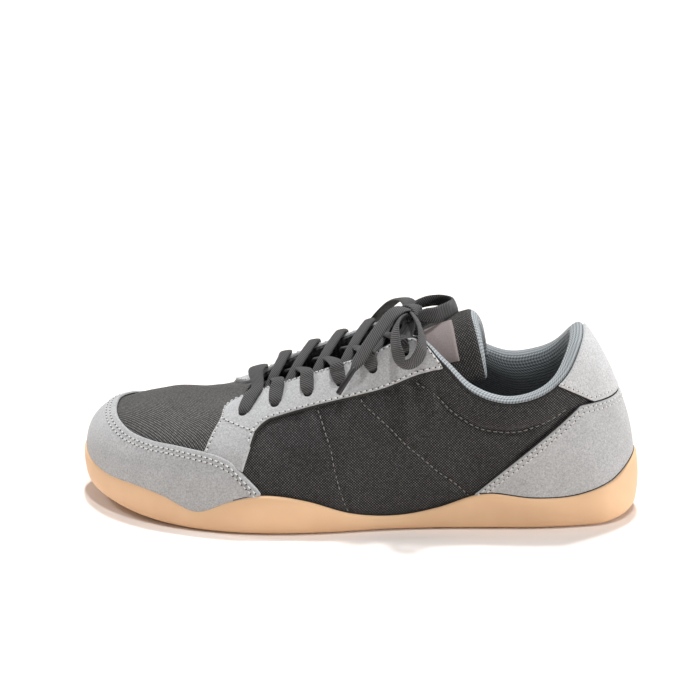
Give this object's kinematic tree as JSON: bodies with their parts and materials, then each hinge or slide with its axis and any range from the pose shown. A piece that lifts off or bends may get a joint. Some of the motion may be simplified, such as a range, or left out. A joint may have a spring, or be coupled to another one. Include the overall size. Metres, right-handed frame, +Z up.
{
  "type": "barefoot shoe",
  "caption": "Left low-cut barefoot shoe with a wide toe box, canvas upper, suede overlays, a flat rubber cup sole and flat laces tied in a bow.",
  "frame": {"origin": "on the ground under the middle of the shoe, halfway along its length and its width", "axes": "+X to the heel, -X to the toe, -Y to the lateral side, +Y to the medial side, +Z up"},
  "size_m": [0.2865, 0.1079, 0.1074],
  "materials": {
    "sole_rubber": "smooth matt tan rubber",
    "disc_rubber": "matt dark grey rubber",
    "insole_cloth": "dark knit over thin foam",
    "canvas": "plain weave, charcoal",
    "suede": "light grey suede with a short nap",
    "lining_knit": "light grey knit over foam",
    "label": "smooth bare patch",
    "lace": "flat ribbed braid, dark grey",
    "aglet": "hard dark lace tip"
  },
  "bodies": {
    "root": {"sole": "sole_rubber", "sole_disc": "disc_rubber", "insole": "insole_cloth", "upper": "canvas", "toe_cap": "suede", "heel_counter": "suede", "heel_tab": "suede", "eyestay_lateral": "suede", "eyestay_medial": "suede", "collar_lining": "lining_knit", "tongue": "canvas", "tongue_label": "label", "lace_bar_front": "lace", "lace_crossing_1": "lace", "lace_crossing_2": "lace", "lace_crossing_3": "lace", "lace_crossing_4": "lace", "lace_crossing_5": "lace", "lace_bar_top": "lace", "lace_knot": "lace", "lace_loop_lateral": "lace", "lace_loop_medial": "lace", "lace_end_lateral": "lace", "lace_end_medial": "lace", "aglet_lateral": "aglet", "aglet_medial": "aglet"}
  },
  "joints": []
}
